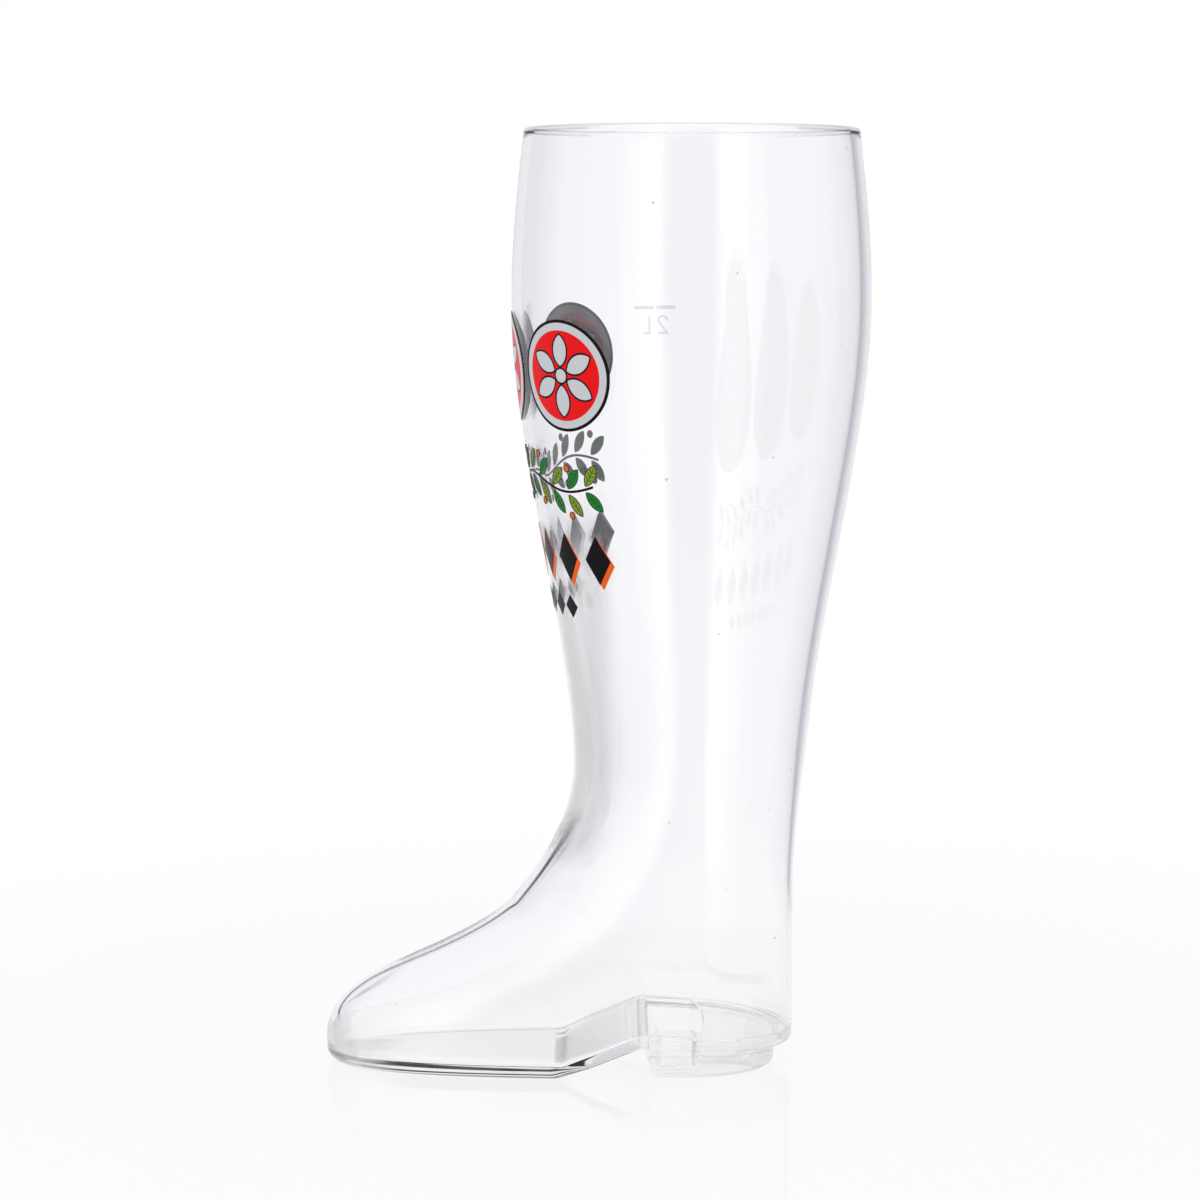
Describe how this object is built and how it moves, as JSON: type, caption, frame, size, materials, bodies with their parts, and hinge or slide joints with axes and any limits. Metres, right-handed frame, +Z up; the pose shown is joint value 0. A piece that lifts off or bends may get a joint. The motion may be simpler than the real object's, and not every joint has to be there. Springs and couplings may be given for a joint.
{
  "type": "boot-shaped beer glass",
  "caption": "Tall clear drinking glass in the shape of a boot, with a hollow foot and heel, a fill line on the side and rows of coloured enamel ornament on the front of the shaft.",
  "frame": {"origin": "on the table, in the heel's flat bottom, under the axis of the shaft", "axes": "+Z up along the axis of the shaft, -X towards the toe, Y across the foot"},
  "size_m": [0.2006, 0.131, 0.345],
  "materials": {
    "clear_glass": "fire-polished",
    "enamel_red": "glossy fired enamel",
    "enamel_black": "glossy fired enamel",
    "enamel_silver": "glossy fired enamel",
    "enamel_green": "glossy fired enamel",
    "enamel_lime": "glossy fired enamel",
    "enamel_orange": "glossy fired enamel",
    "enamel_white": "glossy fired enamel"
  },
  "bodies": {
    "root": {"boot_glass": "clear_glass", "roundel_red_fields": "enamel_red", "roundel_black_rings": "enamel_black", "roundel_silver_rings": "enamel_silver", "rosette_silver_petals": "enamel_silver", "rosette_black_outlines": "enamel_black", "garland_green_leaves": "enamel_green", "garland_lime_leaves": "enamel_lime", "garland_black_stem": "enamel_black", "garland_orange_berries": "enamel_orange", "band_black_lozenges": "enamel_black", "band_orange_shadows": "enamel_orange", "band_small_lozenges": "enamel_black", "fill_line": "enamel_white", "capacity_figure": "enamel_white"}
  },
  "joints": []
}
